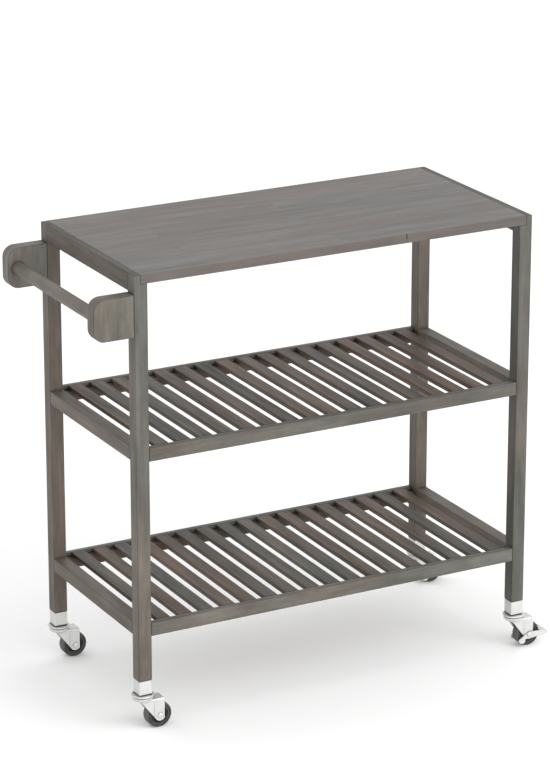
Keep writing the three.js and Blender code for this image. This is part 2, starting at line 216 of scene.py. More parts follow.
def wood(name, warm, cool, contrast, mottle, staves=False, roughness=0.5):
    """Stained timber between a warm and a cool colour.

    Contrast is how strong the grain is, and mottle how strong the cloudy patches in it are. Of the mesh's
    attributes, grain runs along the fibres in x, tone holds how light and how cool each piece is, and edge
    marks
    where the colour is drawn darker: rounded arrises, the tops, and painted shadow round the foot of each
    post.
    Narrow joints and inside corners get painted shade. Noise lies between about 0.35 and 0.65.
    """
    s = Shader(name)
    grain = s.add("Attribute", attribute_name="grain").outputs["Vector"]
    tone = s.add("SeparateXYZ", {0: s.add("Attribute", attribute_name="tone").outputs["Vector"]})
    shade, hue = tone.outputs["X"], tone.outputs["Y"]
    edge = s.add("Attribute", attribute_name="edge").outputs["Fac"]
    joint = None
    if staves:
        bricks = s.add("TexBrick", {"Vector": grain, "Color1": (0, 0, 0, 1), "Color2": (1, 1, 1, 1),
                                    "Mortar": (0.5, 0.5, 0.5, 1), "Scale": 1, "Mortar Size": 0.0004,
                                    "Mortar Smooth": 0.3, "Brick Width": 0.47, "Row Height": 0.0585},
                       offset=0.37, offset_frequency=2)
        stave = bricks.outputs["Color"]
        shade = s.spread(stave, 0, 1, 0.35, 0.65)
        hue = s.math("FRACT", s.math("MULTIPLY", stave, 7.7))
        joint = bricks.outputs["Fac"]
        shifted = s.add("VectorMath", {0: stave, 1: (7, 3, 5)}, operation="MULTIPLY").outputs[0]
        grain = s.add("VectorMath", {0: grain, 1: shifted}, operation="ADD").outputs[0]
    sway = s.spread(s.noise(grain, (3.5, 14, 14), detail=2), 0, 1, -0.012, 0.012)
    aside = s.add("CombineXYZ", {"Y": sway}).outputs[0]
    swayed = s.add("VectorMath", {0: grain, 1: aside}, operation="ADD").outputs[0]
    bands = s.noise(swayed, (2.2, 40, 40), detail=4, roughness=0.6)
    streaks = s.noise(swayed, (5, 150, 150), detail=4, roughness=0.6)
    fibres = s.noise(swayed, (18, 700, 700), detail=2, roughness=0.6)
    drift = s.noise(grain, (2.2, 12, 12), detail=3)
    patches = s.noise(grain, (9, 30, 30), detail=4, roughness=0.65)
    figure = s.math("ADD", s.math("MULTIPLY", bands, 0.4), s.math("MULTIPLY", streaks, 0.36))
    figure = s.math("ADD", figure, s.math("MULTIPLY", fibres, 0.24))
    value = s.spread(figure, 0.36, 0.64, 1 - contrast, 1 + contrast)
    value = s.math("MULTIPLY", value, s.spread(shade, 0, 1, 0.86, 1.14))
    value = s.math("MULTIPLY", value, s.spread(patches, 0.32, 0.68, 1 - mottle, 1 + mottle))
    coolness = s.math("ADD", s.spread(drift, 0.35, 0.65, -0.45, 0.45), s.spread(hue, 0, 1, 0.1, 0.9))
    colour = s.mix(coolness, warm, cool)
    grey = s.add("CombineColor", {0: value, 1: value, 2: value}).outputs[0]
    colour = s.mix(1.0, colour, grey, "MULTIPLY")
    stain_and_shade = scaled(cool, 0.4)
    # Darker where edge marks it: on rounded arrises and tops, and as painted shadow at the foot of each post.
    colour = s.mix(s.math("MULTIPLY", edge, s.spread(streaks, 0.35, 0.7, 0.75, 0.35)), colour, stain_and_shade)
    if joint is not None:
        colour = s.mix(s.math("MULTIPLY", joint, 0.25), colour, stain_and_shade)
    # Painted shade darkens narrow joints and inside corners.
    colour = s.paint_crease_shade(colour, stain_and_shade, 0.007, 0.85)
    height = s.math("ADD", s.math("MULTIPLY", streaks, 0.5), s.math("MULTIPLY", fibres, 0.5))
    s.set(Base_Color=colour, Roughness=s.spread(figure, 0.36, 0.64, roughness + 0.12, roughness - 0.05),
          Normal=s.bump(height, 0.3, 0.0005), Specular_IOR_Level=0.3)
    return s.material


def zinc(name, base, roughness):
    """Bright zinc plate, with a faint spangle and fine rolling marks."""
    s = Shader(name)
    position = s.add("TexCoord").outputs["Object"]
    cloud = s.noise(position, (70, 70, 70), detail=3)
    marks = s.noise(position, (2600, 2600, 160), detail=2)
    colour = s.ramp(cloud, (0.3, scaled(base, 0.9)), (0.65, base))
    # Painted shade darkens narrow joints and inside corners.
    s.set(Base_Color=s.paint_crease_shade(colour, scaled(base, 0.2), 0.005, 0.8),
          Roughness=s.spread(marks, 0.3, 0.7, roughness - 0.06, roughness + 0.1),
          Normal=s.bump(marks, 0.12, 0.0002), Metallic=0.6)
    return s.material


def moulded(name, dark, light, roughness, grit):
    """Moulded rubber or plastic: mottled, with a fine grit in its surface, and paler where the layer edge
    marks it: painted highlights on crests and rims, and dusty wear on the tread.
    """
    s = Shader(name)
    position = s.add("TexCoord").outputs["Object"]
    cloud = s.noise(position, (90, 90, 90), detail=4)
    fine = s.noise(position, (grit, grit, grit), detail=2)
    colour = s.ramp(s.math("ADD", s.math("MULTIPLY", cloud, 0.7), s.math("MULTIPLY", fine, 0.3)),
                    (0.36, dark), (0.66, light))
    edge = s.add("Attribute", attribute_name="edge").outputs["Fac"]
    # Paler where edge marks it: painted highlight, and on a tyre's tread dusty wear as well.
    colour = s.mix(s.math("MULTIPLY", edge, 0.7), colour, scaled(light, 1.7))
    # Painted shade darkens narrow joints and inside corners.
    s.set(Base_Color=s.paint_crease_shade(colour, scaled(dark, 0.3), 0.004, 0.8),
          Roughness=s.spread(cloud, 0.35, 0.65, roughness - 0.08, roughness + 0.1),
          Normal=s.bump(fine, 0.25, 0.0002))
    return s.material


MATERIALS = {
    "tabletop_wood": wood("tabletop_wood", linear(88, 80, 76), linear(82, 80, 77), 0.1, 0.12, True, 0.42),
    "frame_wood": wood("frame_wood", linear(92, 83, 74), linear(81, 82, 77), 0.2, 0.26),
    "slat_wood": wood("slat_wood", linear(88, 68, 54), linear(65, 65, 59), 0.4, 0.28),
    "handle_wood": wood("handle_wood", linear(97, 89, 80), linear(90, 90, 83), 0.14, 0.3),
    "plated_steel": zinc("plated_steel", linear(206, 206, 204), 0.42),
    "fastener_steel": zinc("fastener_steel", linear(168, 168, 166), 0.38),
    "hub_plastic": moulded("hub_plastic", linear(26, 26, 27), linear(42, 42, 42), 0.45, 3000),
    "tyre_rubber": moulded("tyre_rubber", linear(46, 45, 45), linear(78, 76, 75), 0.6, 2200),
}


# ---- Mesh helpers ---------------------------------------------------------------------------
def arc(cx, cy, radius, start, end, steps):
    """Points of a circular arc, in degrees, both ends included."""
    angles = [math.radians(start + (end - start) * i / steps) for i in range(steps + 1)]
    return [(cx + radius * math.cos(a), cy + radius * math.sin(a)) for a in angles]


# For each axis, a point from its two other coordinates a and b and its height h along the axis.
AXIS_FRAMES = {
    "X": lambda a, b, h: (h, a, b),
    "Y": lambda a, b, h: (a, h, b),
    "Z": lambda a, b, h: (a, b, h),
}


def prism(outline, axis, low, high):
    """A solid from low to high along axis. Its outline is drawn in the other two axes, in X, Y, Z order."""
    point = AXIS_FRAMES[axis]
    bm = bmesh.new()
    bottom, top = [[bm.verts.new(point(a, b, h)) for a, b in outline] for h in (low, high)]
    count = len(outline)
    for i in range(count):
        j = (i + 1) % count
        bm.faces.new((bottom[i], bottom[j], top[j], top[i]))
    bm.faces.new(bottom)
    bm.faces.new(top)
    bmesh.ops.recalc_face_normals(bm, faces=bm.faces)
    return bm


def block(low, high):
    """A box from its lowest to its highest corner."""
    x0, y0, z0 = low
    x1, y1, z1 = high
    return prism([(x0, y0), (x1, y0), (x1, y1), (x0, y1)], "Z", z0, z1)


def loft(rings, loop=False):
    """A skin over rings of points, capped at both ends, or joined from the last ring to the first."""
    bm = bmesh.new()
    made = [[bm.verts.new(point) for point in row] for row in rings]
    count = len(rings[0])
    for a, b in zip(made, made[1:] + made[:1] if loop else made[1:]):
        for i in range(count):
            j = (i + 1) % count
            bm.faces.new((a[i], a[j], b[j], b[i]))
    if not loop:
        bm.faces.new(made[0])
        bm.faces.new(made[-1])
    bmesh.ops.recalc_face_normals(bm, faces=bm.faces)
    return bm


def ring(axis, radius, height, count, centre=(0, 0), shape=None):
    """A ring of points about axis. shape gives a factor on the radius for an angle in radians."""
    point = AXIS_FRAMES[axis]
    points = []
    for i in range(count):
        angle = 2 * math.pi * i / count
        r = radius * (shape(angle) if shape else 1)
        points.append(point(centre[0] + r * math.cos(angle), centre[1] + r * math.sin(angle), height))
    return points


def lathe(profile, axis, count=64, centre=(0, 0), loop=False):
    """Revolves (radius, height) pairs about axis."""
    return loft([ring(axis, r, h, count, centre) for r, h in profile], loop)


def soften(bm, width, segments=2, angle=25):
    """Rounds every sharp edge, and marks the rounded faces in the layer edge."""
    layer = bm.faces.layers.float.new("edge")
    sharp = [e for e in bm.edges if len(e.link_faces) == 2 and e.calc_face_angle(0) > math.radians(angle)]
    made = bmesh.ops.bevel(bm, geom=sharp, offset=width, segments=segments, profile=0.5, affect="EDGES",
                           clamp_overlap=True)
    for face in made["faces"]:
        face[layer] = 1
    return bm


END_GRAIN = 1.4  # how dark the stain lies, against 1 on a rounded edge
# Painted shadow along the foot of each post, where it meets the ferrule.
PAINTED_FOOT_SHADOW = 2.8


def stain_tops_shade_foot(bm, foot=0):
    """Marks the highest upward faces, and with foot the arris round the foot as painted shadow, in the layer
    edge.
    """
    layer = bm.faces.layers.float["edge"]
    heights = [v.co.z for v in bm.verts]
    for face in bm.faces:
        z = face.calc_center_median().z
        if face.normal.z > 0.9 and z > max(heights) - MM:
            face[layer] = END_GRAIN
        if foot and z < min(heights) + ARRIS:
            face[layer] = foot
    return bm


def join(*parts):
    """Several bmeshes as one, each still a closed shell."""
    whole = parts[0]
    for part in parts[1:]:
        mesh = bpy.data.meshes.new("part")
        part.to_mesh(mesh)
        whole.from_mesh(mesh)
        bpy.data.meshes.remove(mesh)
        part.free()
    return whole


def boolean(bm, others, operation):
    """The solid bm joined with, cut by or kept within each of the others."""
    objects = []
    for part in (bm, *others):
        mesh = bpy.data.meshes.new("part")
        part.to_mesh(mesh)
        part.free()
        objects.append(bpy.data.objects.new("part", mesh))
        bpy.context.scene.collection.objects.link(objects[-1])
    base = objects[0]
    for other in objects[1:]:
        modifier = base.modifiers.new("boolean", "BOOLEAN")
        modifier.operation = operation
        modifier.solver = "EXACT"
        modifier.object = other
    result = bmesh.new()
    result.from_object(base, bpy.context.evaluated_depsgraph_get())
    for obj in objects:
        mesh = obj.data
        bpy.data.objects.remove(obj)
        bpy.data.meshes.remove(mesh)
    # The faces that the solver leaves split on one plane become one face again.
    bmesh.ops.dissolve_limit(result, angle_limit=math.radians(0.5), verts=result.verts, edges=result.edges)
    return result


def set_grain(mesh, along, shade, hue):
    """Gives the mesh its fibre direction and a place of its own in the timber. A None is left to chance."""
    order = {"X": (0, 1, 2), "Y": (1, 0, 2), "Z": (2, 0, 1)}[along]
    shift = [rng.uniform(0, 40) for _ in range(3)]
    grain = mesh.attributes.new("grain", "FLOAT_VECTOR", "POINT")
    for vertex, item in zip(mesh.vertices, grain.data):
        item.vector = [vertex.co[axis] + shift[i] for i, axis in enumerate(order)]
    tone = mesh.attributes.new("tone", "FLOAT_VECTOR", "POINT")
    chances = rng.random(), rng.random()
    shade, hue = (chance if given is None else given for given, chance in zip((shade, hue), chances))
    for item in tone.data:
        item.vector = (shade, hue, 0)


def finish_mesh(name, bm, slot, grain=None, shade=None, hue=None):
    """The bmesh as a smooth-shaded mesh in the slot's material. grain is the axis of the fibres of timber."""
    mesh = bpy.data.meshes.new(name)
    bm.to_mesh(mesh)
    bm.free()
    mesh.shade_smooth()
    mesh.set_sharp_from_angle(angle=math.radians(42))
    mesh.materials.append(MATERIALS[slot])
    if grain:
        set_grain(mesh, grain, shade, hue)
    return mesh


def place(name, mesh, slot, body, nodes, location=(0, 0, 0)):
    """Adds a piece that rides on body and stands for the CAD nodes, which may be none."""
    piece = bpy.data.objects.new(name, mesh)
    piece.location = location
    bpy.context.scene.collection.objects.link(piece)
    normals = piece.modifiers.new("normals", "WEIGHTED_NORMAL")
    normals.keep_sharp = True
    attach(piece, body)
    if nodes:
        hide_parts(*nodes)


def wooden(name, bm, slot, along, nodes, rounding=ARRIS, shade=None, hue=None):
    """Adds a piece of timber of the frame, with rounded edges and its fibres along an axis."""
    place(name, finish_mesh(name, soften(bm, rounding), slot, along, shade, hue), slot, "cart_frame", nodes)


# ---- Tabletop and end frames ----------------------------------------------------------------
CHIP_FROM_LEFT = 567 * MM
# The small chip in the front edge of the board: height from the top, half the width, and depth, in mm.
CHIP_SECTIONS = [(-13, 0.6, 0.3), (-8, 1.8, 1.6), (1, 2.6, 2)]


def add_tabletop():
    low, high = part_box("tabletop")
    x, proud = low.x + CHIP_FROM_LEFT, low.y - MM
    chip = []
    for height, half, deep in CHIP_SECTIONS:
        z = high.z + height * MM
        chip.append([(x - half * MM, proud, z), (x + half * MM, proud, z), (x, low.y + deep * MM, z)])
    board = boolean(block(low, high), [loft(chip)], "DIFFERENCE")
    wooden("tabletop_board", board, "tabletop_wood", "X", ["tabletop"])


def rebated_outline(low, high, side):
    """The X-Z outline of a post or rail whose inner top corner is cut back for the tabletop."""
    top_low, top_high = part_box("tabletop")
    shoulder = top_low.z - GAP
    if side == "left":
        outer, wall, inner = low.x, top_low.x - GAP, high.x
    else:
        outer, wall, inner = high.x, top_high.x + GAP, low.x
    return [(outer, low.z), (outer, high.z), (wall, high.z),
            (wall, shoulder), (inner, shoulder), (inner, low.z)]


FERRULE_WALL = 1.5 * MM
TENON_OVERLAP = 4 * MM  # how far the tenon of a leg runs up into the post


def end_frame_part(name, bm, along, node):
    place(name, finish_mesh(name, bm, "frame_wood", along), "frame_wood", "cart_frame", [node])


def add_end_frames():
    for side in SIDES:
        low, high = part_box(f"top_rail_{side}")
        rail = soften(prism(rebated_outline(low, high, side), "Y", low.y, high.y), ARRIS)
        end_frame_part(f"end_rail_{side}", stain_tops_shade_foot(rail), "Y", f"top_rail_{side}")
    inset = Vector((FERRULE_WALL + GAP, FERRULE_WALL + GAP, 0))
    for end, side in CORNERS:
        corner = f"{end}_{side}"
        low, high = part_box(f"leg_{corner}")
        tenon_low, tenon_high = Vector(low), Vector(high)
        low.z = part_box(f"caster_ferrule_{corner}")[1].z + 3 * GAP
        tenon_high.z = low.z + TENON_OVERLAP
        post = soften(prism(rebated_outline(low, high, side), "Y", low.y, high.y), ARRIS)
        # Its foot carries painted shadow where it meets the ferrule.
        leg = join(stain_tops_shade_foot(post, PAINTED_FOOT_SHADOW), block(tenon_low + inset, tenon_high - inset))
        end_frame_part(f"leg_{corner}_post", leg, "Z", f"leg_{corner}")


# ---- Shelves --------------------------------------------------------------------------------
SLAT_COUNT = 17
SLAT_WIDTH = 28 * MM
SLAT_THICKNESS = 8 * MM
SLAT_ROUNDING = 1.1 * MM
LEFT_RAIL_SHADE = 0.15  # the left rails are among the darkest


def add_shelf(shelf):
    for part in (*ENDS, *SIDES):
        node = f"{shelf}_rail_{part}"
        low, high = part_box(node)
        along = "X" if part in ENDS else "Y"
        shade = LEFT_RAIL_SHADE if part == "left" else None
        wooden(f"{shelf}_shelf_rail_{part}", block(low, high), "frame_wood", along, [node], shade=shade)
    deck = f"{shelf}_slat_deck"
    low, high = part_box(deck)
    inner_low, inner_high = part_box("leg_front_left")[1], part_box("leg_rear_right")[0]
    length = inner_high.x - inner_low.x
    pitch = SLAT_WIDTH + (length - SLAT_COUNT * SLAT_WIDTH) / (SLAT_COUNT + 1)
    middle = (inner_low.x + inner_high.x) / 2
    underside = high.z - SLAT_THICKNESS
    for number in range(SLAT_COUNT):
        x = middle + (number - (SLAT_COUNT - 1) / 2) * pitch
        slat = block((x - SLAT_WIDTH / 2, low.y, underside), (x + SLAT_WIDTH / 2, high.y, high.z))
        wooden(f"{shelf}_slat_{number + 1}", slat, "slat_wood", "Y", [deck], SLAT_ROUNDING)
    for end, y, inner_y in (("front", low.y, inner_low.y), ("rear", high.y, inner_high.y)):
        cleat = block((low.x, min(y, inner_y), low.z), (high.x, max(y, inner_y), underside))
        wooden(f"{shelf}_cleat_{end}", cleat, "slat_wood", "X", [deck])


# ---- Handle ---------------------------------------------------------------------------------
BRACKET_RADIUS = 23 * MM
BRACKET_ROUNDING = 1.2 * MM
BAR_TENON_RADIUS = 8 * MM
BRACKET_HUE, BAR_HUE = 0.55, 0.1  # the brackets are cooler in colour than the bar


def add_handle():
    radius = BRACKET_RADIUS
    for end in ENDS:
        node = f"handle_bracket_{end}"
        low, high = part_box(node)
        outline = [(high.x, low.z), (high.x, high.z),
                   *arc(low.x + radius, high.z - radius, radius, 90, 180, 14),
                   *arc(low.x + radius, low.z + radius, radius, 180, 270, 14)]
        bracket = prism(outline, "Y", low.y, high.y)
        wooden(f"bracket_{end}", bracket, "handle_wood", "Z", [node], BRACKET_ROUNDING, hue=BRACKET_HUE)
    low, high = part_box("handle_bar")
    centre = ((low.x + high.x) / 2, (low.z + high.z) / 2)
    bar_radius = (high.z - low.z) / 2
    shoulder = -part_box("handle_bracket_front")[1].y - GAP
    tenon, lip = BAR_TENON_RADIUS, MM
    half = [(tenon - lip, high.y), (tenon, high.y - lip), (tenon, shoulder),
            (bar_radius - lip, shoulder), (bar_radius, shoulder - lip)]
    profile = half + [(r, -h) for r, h in reversed(half)]
    bar = lathe(profile, "Y", 72, centre)
    bar.faces.layers.float.new("edge")
    mesh = finish_mesh("grip_bar", bar, "handle_wood", "Y", hue=BAR_HUE)
    place("grip_bar", mesh, "handle_wood", "cart_frame", ["handle_bar"])


# ---- Fasteners ------------------------------------------------------------------------------
def hexagon(angle):
    """How far out a hexagon lies at an angle, against its corners."""
    sixth = math.pi / 3
    return math.cos(sixth / 2) / math.cos(angle % sixth - sixth / 2)


def socket_fastener(axis, centre, seat, head_top, tip, head_radius, shank_radius):
    """A domed head with a hexagon socket, on a plain shank. Heights run along axis."""
    up = 1 if head_top > seat else -1
    height = abs(head_top - seat)
    socket = head_radius * 0.5
    round_rows = [(shank_radius * 0.6, tip), (shank_radius, tip + up * shank_radius * 0.5),
                  (shank_radius, seat), (head_radius, seat), (head_radius, seat + up * height * 0.3),
                  (head_radius * 0.93, seat + up * height * 0.66),
                  (head_radius * 0.78, seat + up * height * 0.92), (head_radius * 0.6, head_top)]
    socket_rows = [(socket, head_top - up * height * 0.03), (socket * 0.94, head_top - up * height * 0.75)]
    rings = [ring(axis, r, h, 36, centre) for r, h in round_rows]
    return loft(rings + [ring(axis, r, h, 36, centre, hexagon) for r, h in socket_rows])


BOLT = {"head_radius": 5.5 * MM, "shank_radius": 3 * MM}
BOLT_HEAD = 3 * MM
SCREW = {"head_radius": 4 * MM, "shank_radius": 2 * MM}
SCREW_HEAD = 2.4 * MM


def add_fastener(name, node, bm):
    place(name, finish_mesh(node, bm, "fastener_steel"), "fastener_steel", "cart_frame", [node])


def add_fasteners():
    for end in ENDS:
        for level in ("lower", "upper"):
            node = f"handle_bolt_{end}_{level}"
            low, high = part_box(node)
            centre = ((low.y + high.y) / 2, (low.z + high.z) / 2)
            bolt = socket_fastener("X", centre, high.x - BOLT_HEAD, high.x, low.x, **BOLT)
            add_fastener(f"handle_screw_{end}_{level}", node, bolt)
        for side in SIDES:
            node = f"top_screw_{end}_{side}"
            low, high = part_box(node)
            centre = ((low.x + high.x) / 2, (low.y + high.y) / 2)
            screw = socket_fastener("Z", centre, low.z + SCREW_HEAD, low.z, high.z, **SCREW)
            add_fastener(f"tabletop_screw_{end}_{side}", node, screw)


# ---- Casters: drawn about the swivel axis on the floor, trailing towards +X -----------------
TRAIL = 30.5 * MM
WHEEL_RADIUS = 26 * MM
AXLE_Z = WHEEL_RADIUS
AXLE_CENTRE = (TRAIL, AXLE_Z)
AXLE_RADIUS = 3 * MM
PIN_RADIUS = 5 * MM
RUNNING_GAP = 0.1 * MM  # round a shaft that turns in a bore
PIN_HEAD_RADIUS, PIN_HEAD_TOP = 8 * MM, 59.6 * MM
PIN_CUT_LOW, PIN_CUT_HIGH = 50 * MM, 80 * MM  # ends of the tool that cuts the pin's hole in the fork
DISC_BOTTOM, DISC_TOP = 69.8 * MM, 73.4 * MM
FERRULE_CORNER = 2.2 * MM
FERRULE_FLOOR = 2 * MM
COLLAR_RADIUS = 9 * MM
STEM_RADIUS = 4 * MM
SHADOW_PAD_PLAY = 0.05 * MM  # above and below the dark pad of painted shadow

PLATE = 2 * MM
FORK_HALF = 14.05 * MM
FORK_BEND = 2.6 * MM
FORK_STEP_DEPTH, FORK_STEP_TOE = 0.6 * MM, 18 * MM  # the heel of each side plate is pressed in
CROWN_TOP, CROWN_THICKNESS = 62.4 * MM, 2.5 * MM
CROWN_HEEL, CROWN_TOE = -11.3 * MM, 38.7 * MM
TIP_RADIUS = 11 * MM
RACEWAY_RADIUS = 19.5 * MM
RACEWAY_FLOOR, RACEWAY_RIM = 66.7 * MM, 68.1 * MM
BALL_COUNT, BALL_RADIUS = 20, 1.2 * MM
BALL_CIRCLE, BALL_HEIGHT = 13 * MM, 68.25 * MM

TYRE_HALF = 10 * MM
TYRE_INNER = 17.5 * MM
TYRE_BEAD, TYRE_BAND = 20.4 * MM, 22.2 * MM  # radii on either side of the groove in the tyre's wall
TYRE_SHOULDER = 2.4 * MM
HUB_HALF, HUB_BOSS = 11.7 * MM, 7 * MM
HUB_WEB_HALF = 5 * MM
HUB_RIM_HALF, HUB_RIM_INNER, HUB_RIM_OUTER = 9 * MM, 15 * MM, 17.2 * MM

# Each arm of the pedal is three straps. A strap has two round ends, (x, z, radius) from the axle in mm.
PEDAL_STRAPS = [((0, -1.5, 7.5), (38, -1.6, 4)),
                ((-1, 0.4, 5.4), (-17, -8.2, 4)),
                ((-16.6, -11.4, 6.2), (-18.6, -11, 6))]
PEDAL_PAD = ((29.5, -2), (42, 0.6))  # lowest and highest x and z from the axle in mm
BEYOND = 50 * MM  # further out than any part of a caster, for cutting tools


def rounded_square(half, corner, height, steps=8):
    """A ring of points round a square with rounded corners. half is half the width of the square."""
    flat = half - corner
    points = []
    for quarter, (sx, sy) in enumerate(((1, 1), (-1, 1), (-1, -1), (1, -1))):
        start = 90 * quarter
        points += arc(sx * flat, sy * flat, corner, start, start + 90, steps)
    return [(x, y, height) for x, y in points]


def bore(axis, radius, low, high, count, centre=(0, 0)):
    """A plain round tool that cuts a hole."""
    return lathe([(radius, low), (radius, high)], axis, count, centre)


def axle_bore():
    return bore("Y", AXLE_RADIUS + RUNNING_GAP, -BEYOND, BEYOND, 32, AXLE_CENTRE)


def ferrule():
    """A square cup, open at the top, with a hole in its floor for the stem."""
    low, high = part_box("caster_ferrule_front_left")
    half, corner, lip = (high.x - low.x) / 2, FERRULE_CORNER, 0.8 * MM
    inner, floor = half - FERRULE_WALL, low.z + FERRULE_FLOOR
    hole = STEM_RADIUS + GAP
    count = len(rounded_square(half, corner, 0))
    hole_rings = [[(x, y, z) for x, y in arc(0, 0, hole, 0, 360, count)[:-1]] for z in (floor, low.z)]
    outside = [(half - lip, low.z), (half, low.z + lip), (half, high.z - lip / 2), (half - lip / 2, high.z)]
    inside = [(inner, high.z), (inner, floor)]
    walls = [rounded_square(reach, corner, z) for reach, z in outside]
    walls += [rounded_square(reach, corner / 2, z) for reach, z in inside]
    return loft(walls + hole_rings, loop=True)


def shadow_pad():
    """A dark pad between the ferrule and the disc under it: painted shadow in the gap there."""
    low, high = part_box("caster_ferrule_front_left")
    half, corner, lip = (high.x - low.x) / 2 - 0.4 * MM, FERRULE_CORNER, 0.3 * MM
    bottom, top = DISC_TOP + SHADOW_PAD_PLAY, low.z - SHADOW_PAD_PLAY
    rows = [(half - lip, bottom), (half, bottom + lip), (half, top - lip), (half - lip, top)]
    return loft([rounded_square(reach, corner, z) for reach, z in rows])


def stem():
    """The stem with its collar and round-edged disc, and the king pin with its head below."""
    low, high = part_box("caster_stem_front_left")
    disc = (high.x - low.x) / 2
    collar_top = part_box("caster_ferrule_front_left")[0].z - GAP
    lip = 1.1 * MM
    rim = [(disc - lip + r, h) for r, h in arc(0, DISC_BOTTOM + lip, lip, -90, 0, 4)]
    rim += [(disc - lip + r, h) for r, h in arc(0, DISC_TOP - lip, lip, 0, 90, 4)]
    profile = [(0.2 * MM, low.z), (PIN_HEAD_RADIUS - MM, low.z), (PIN_HEAD_RADIUS, low.z + MM),
               (PIN_HEAD_RADIUS, PIN_HEAD_TOP), (PIN_RADIUS, PIN_HEAD_TOP), (PIN_RADIUS, DISC_BOTTOM), *rim,
               (COLLAR_RADIUS + 0.4 * MM, DISC_TOP), (COLLAR_RADIUS, DISC_TOP + 0.3 * MM),
               (COLLAR_RADIUS, collar_top), (STEM_RADIUS, collar_top), (STEM_RADIUS, high.z - MM),
               (STEM_RADIUS - MM, high.z)]
    return lathe(profile, "Z", 64)


def ball_ring():
    """The loose balls that carry the disc on the raceway."""
    balls = []
    for x, y in arc(0, 0, BALL_CIRCLE, 0, 360, BALL_COUNT)[:-1]:
        ball = bmesh.new()
        middle = Matrix.Translation((x, y, BALL_HEIGHT))
        bmesh.ops.create_uvsphere(ball, u_segments=12, v_segments=8, radius=BALL_RADIUS, matrix=middle)
        balls.append(ball)
    return join(*balls)


def side_outline():
    """The V of a fork's side plate: wide at the crown, round at the axle."""
    run, drop = TRAIL - CROWN_HEEL, CROWN_TOP - AXLE_Z
    slant = math.degrees(math.atan2(drop, run))
    lean = math.degrees(math.acos(TIP_RADIUS / math.hypot(run, drop)))
    foot = arc(TRAIL, AXLE_Z, TIP_RADIUS, 180 - slant + lean, 360, 20)
    return [(CROWN_TOE, CROWN_TOP), (CROWN_HEEL, CROWN_TOP), *foot]


def channel(half, top, bend, past):
    """A block along X with its two upper edges bent round, which runs past both ends of the crown."""
    outline = [(-half, 0), *arc(-half + bend, top - bend, bend, 180, 90, 6),
               *arc(half - bend, top - bend, bend, 90, 0, 6), (half, 0)]
    return prism(outline, "X", CROWN_HEEL - past, CROWN_TOE + past)


def raceway():
    """The round raceway that stands on the crown, with a rim outside the balls."""
    pin_bore, under = PIN_RADIUS + RUNNING_GAP, CROWN_TOP - CROWN_THICKNESS
    outer, inner, lip = RACEWAY_RADIUS, RACEWAY_RADIUS - 2.2 * MM, 0.4 * MM
    profile = [(pin_bore, under), (outer - 3 * MM, under), (outer - 0.8 * MM, CROWN_TOP - lip),
               (outer, CROWN_TOP + 1.6 * MM), (outer, RACEWAY_RIM - lip), (outer - lip, RACEWAY_RIM),
               (inner + lip, RACEWAY_RIM), (inner, RACEWAY_RIM - lip), (inner, RACEWAY_FLOOR),
               (pin_bore, RACEWAY_FLOOR)]
    return lathe(profile, "Z", 64, loop=True)


def fork():
    """A bent channel cut to the V of its side plates, with the raceway on its crown."""
    body = boolean(channel(FORK_HALF, CROWN_TOP, FORK_BEND, MM),
                   [prism(side_outline(), "Y", -BEYOND, BEYOND)], "INTERSECT")
    hollow = channel(FORK_HALF - PLATE, CROWN_TOP - CROWN_THICKNESS, FORK_BEND - PLATE / 2, 5 * MM)
    steps = []
    for plate in (-FORK_HALF, FORK_HALF):
        steps.append(block((-BEYOND, plate - FORK_STEP_DEPTH, 0),
                           (FORK_STEP_TOE, plate + FORK_STEP_DEPTH, CROWN_TOP - FORK_BEND)))
    body = boolean(body, [hollow, *steps], "DIFFERENCE")
    pin_bore = bore("Z", PIN_RADIUS + RUNNING_GAP, PIN_CUT_LOW, PIN_CUT_HIGH, 64)
    body = boolean(body, [pin_bore, axle_bore()], "DIFFERENCE")
    return join(soften(body, 0.35 * MM, 1, 40), raceway())


def rivet_axle(node):
    """A pin with a flat-domed head at each end, as long as its CAD node."""
    low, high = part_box(node)
    half = (high.y - low.y) / 2
    head, radius, height = 5.5 * MM, AXLE_RADIUS, 2 * MM
    side = [(radius, half - height), (head, half - height), (head, half - 0.9 * MM),
            (head - 0.5 * MM, half - 0.4 * MM), (head * 0.55, half - 0.1 * MM), (0.4 * MM, half)]
    return lathe([(r, -h) for r, h in reversed(side)] + side, "Y", 40, AXLE_CENTRE)


def wheel_part(half_profile, count):
    """Revolves half a profile and its mirror image about the axle."""
    profile = [(r, -h) for r, h in half_profile] + list(reversed(half_profile))
    return lathe(profile, "Y", count, AXLE_CENTRE, loop=True)


def mark_highlights_and_wear(bm, amount):
    """Marks each face of a wheel in the layer edge by amount(radius, distance from the middle), where it is
    drawn paler: painted highlights on crests and rims, and dusty wear on the tread.
    """
    layer = bm.faces.layers.float.new("edge")
    for face in bm.faces:
        middle = face.calc_center_median()
        face[layer] = amount(math.hypot(middle.x - TRAIL, middle.z - AXLE_Z), abs(middle.y))
    return bm


